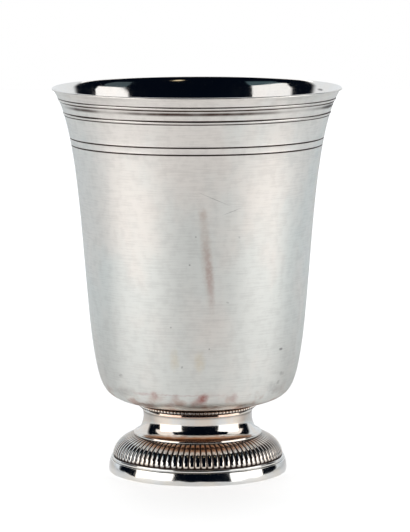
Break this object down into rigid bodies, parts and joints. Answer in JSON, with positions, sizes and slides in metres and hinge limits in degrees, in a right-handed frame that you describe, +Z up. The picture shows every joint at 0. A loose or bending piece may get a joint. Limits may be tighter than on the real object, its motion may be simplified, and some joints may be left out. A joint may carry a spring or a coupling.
{
  "type": "silver beaker",
  "caption": "Silver tulip beaker with a flared lip, engraved lines, a beaded collar and a hollow gadrooned pedestal foot, for drinking.",
  "frame": {"origin": "centre of the foot, on the surface that the beaker stands on", "axes": "+Z up along the axis that every piece is turned about, X and Y level"},
  "size_m": [0.0858, 0.0858, 0.115],
  "materials": {
    "satin_silver": "old silver, rubbed to a satin with fine scratches and faint tarnish",
    "polished_silver": "old silver, bright polish with dark tarnish in the hollows"
  },
  "bodies": {
    "root": {"bowl": "satin_silver", "rim_moulding": "satin_silver", "beaded_wire": "polished_silver", "collar_ring": "polished_silver", "neck": "polished_silver", "gadroon_ring": "polished_silver", "foot_ring": "polished_silver"}
  },
  "joints": []
}
